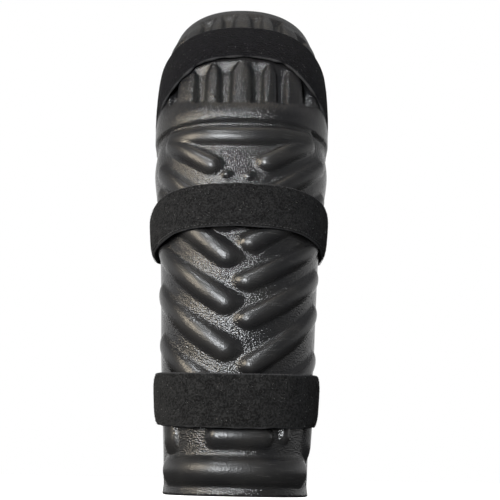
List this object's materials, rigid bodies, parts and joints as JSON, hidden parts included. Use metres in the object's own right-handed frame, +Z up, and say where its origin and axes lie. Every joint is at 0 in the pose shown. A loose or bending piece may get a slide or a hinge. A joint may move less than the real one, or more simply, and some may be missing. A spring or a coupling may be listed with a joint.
{
  "type": "knee and shin pad",
  "caption": "Moulded knee and shin pad with ribbed knee cup and slanted raised bars, held by webbing straps that close round the leg.",
  "frame": {"origin": "under the middle of the whole pad, on the surface that its bottom rim stands on", "axes": "X across the leg from its right to its left as the wearer looks down, Y from the front of the shin to the calf, Z up from the ankle to the knee"},
  "size_m": [0.1702, 0.14, 0.4827],
  "materials": {
    "moulded_shell": "black moulded shell, satin, with a fine leather grain",
    "strap_webbing": "black brushed loop webbing with a short pile and flat selvedges"
  },
  "bodies": {
    "root": {"shell": "moulded_shell", "knee_strap": "strap_webbing", "calf_strap": "strap_webbing", "ankle_strap": "strap_webbing"}
  },
  "joints": []
}
